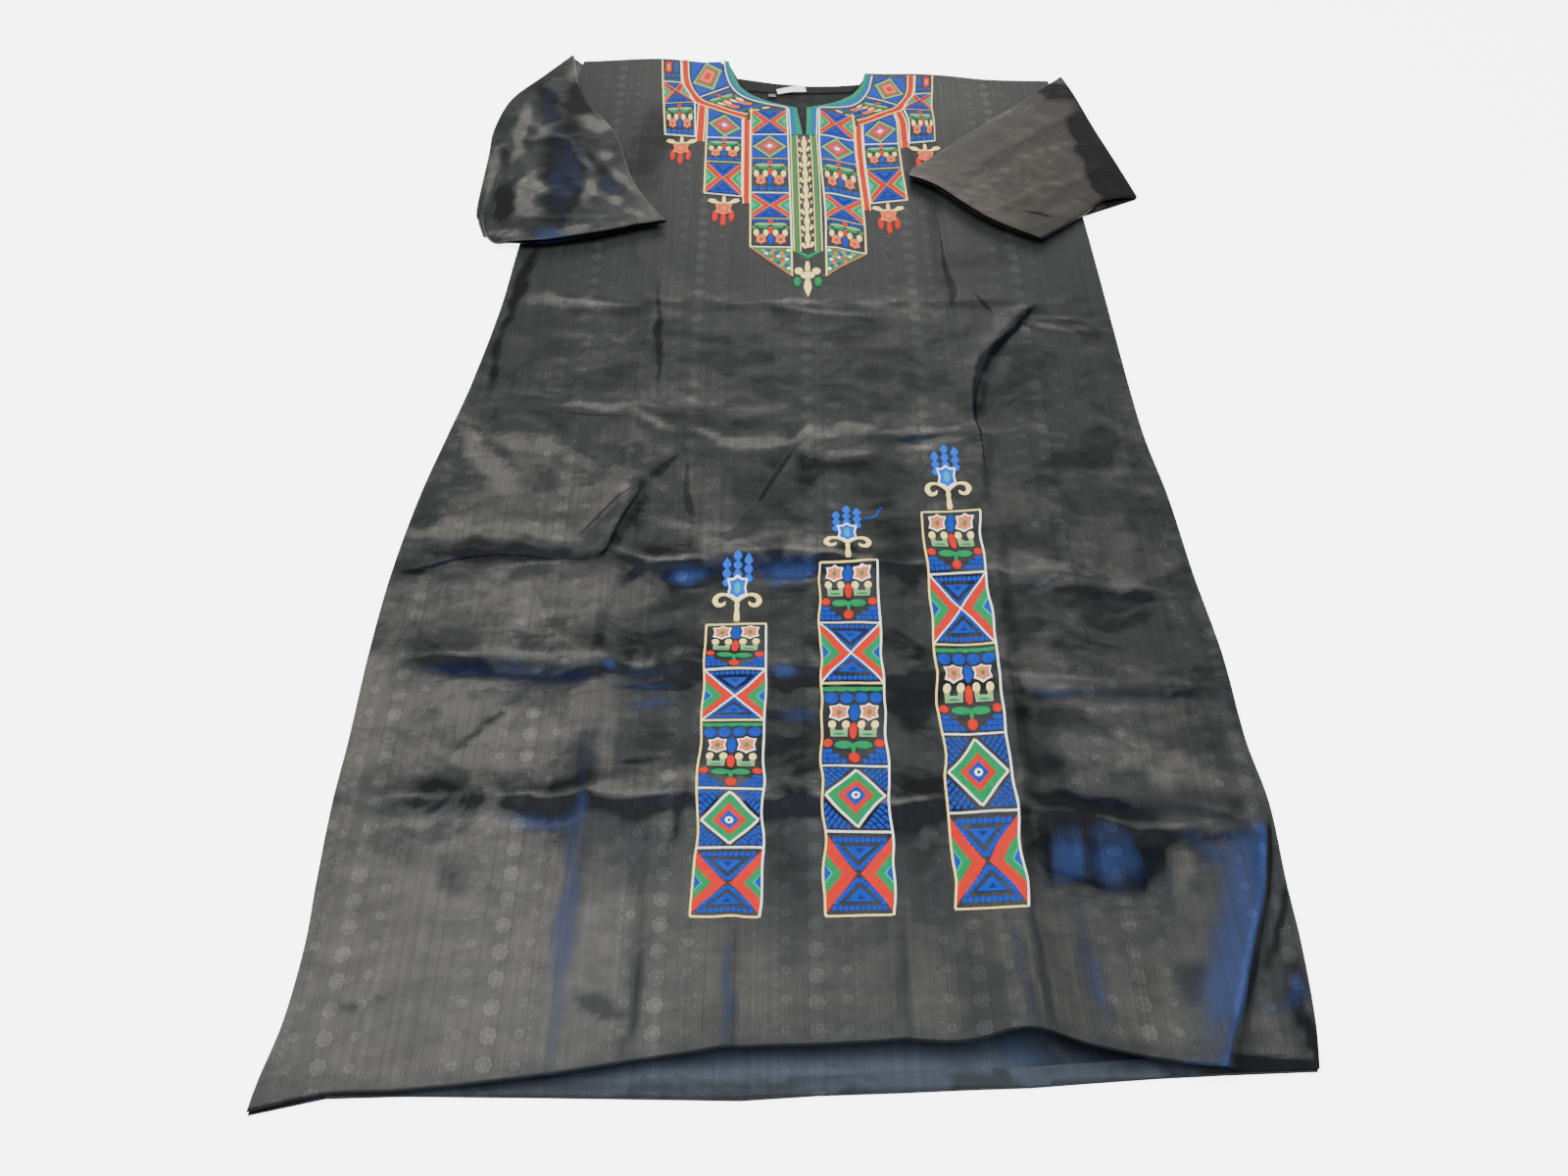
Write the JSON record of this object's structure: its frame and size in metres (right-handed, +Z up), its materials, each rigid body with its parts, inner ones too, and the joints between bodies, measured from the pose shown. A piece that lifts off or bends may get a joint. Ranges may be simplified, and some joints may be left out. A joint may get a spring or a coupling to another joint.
{
  "type": "dashiki robe",
  "caption": "Long black satin dashiki laid flat, sleeves folded over the front, with embroidered neck, chest panels and skirt bands.",
  "frame": {"origin": "on the surface that the back lies on, in the middle of the garment's outline", "axes": "+Y towards the neck, +X to the right looking down at the front, +Z up out of the cloth"},
  "size_m": [0.7931, 1.3958, 0.0274],
  "materials": {
    "black_satin": "black satin with a woven stripe and small rosettes, glossy in the folds",
    "blue_embroidery": "royal blue satin stitch with green, red and cream motifs",
    "green_embroidery": "emerald green satin stitch",
    "red_embroidery": "brick red satin stitch",
    "cream_embroidery": "cream and gold rope stitch",
    "white_label_tape": "white woven tape, bare"
  },
  "bodies": {
    "root": {"back": "black_satin", "front": "black_satin", "hem_back": "black_satin", "neck_facing": "black_satin", "sleeve_left": "black_satin", "sleeve_right": "black_satin", "yoke_left": "blue_embroidery", "yoke_right": "blue_embroidery", "chest_outer_left": "blue_embroidery", "chest_outer_right": "blue_embroidery", "chest_middle_left": "blue_embroidery", "chest_middle_right": "blue_embroidery", "chest_inner_left": "blue_embroidery", "chest_inner_right": "blue_embroidery", "band_left": "blue_embroidery", "band_middle": "blue_embroidery", "band_right": "blue_embroidery", "finial_left": "blue_embroidery", "finial_middle": "blue_embroidery", "finial_right": "blue_embroidery", "neck_border_left": "green_embroidery", "neck_border_right": "green_embroidery", "placket": "green_embroidery", "ribbon_curved_left": "red_embroidery", "ribbon_curved_right": "red_embroidery", "ribbon_outer_left": "red_embroidery", "ribbon_outer_right": "red_embroidery", "ribbon_middle_left": "red_embroidery", "ribbon_middle_right": "red_embroidery", "tassel_outer_left": "red_embroidery", "tassel_middle_left": "red_embroidery", "tassel_middle_right": "red_embroidery", "tassel_outer_right": "red_embroidery", "placket_drop": "cream_embroidery", "label": "white_label_tape"}
  },
  "joints": []
}
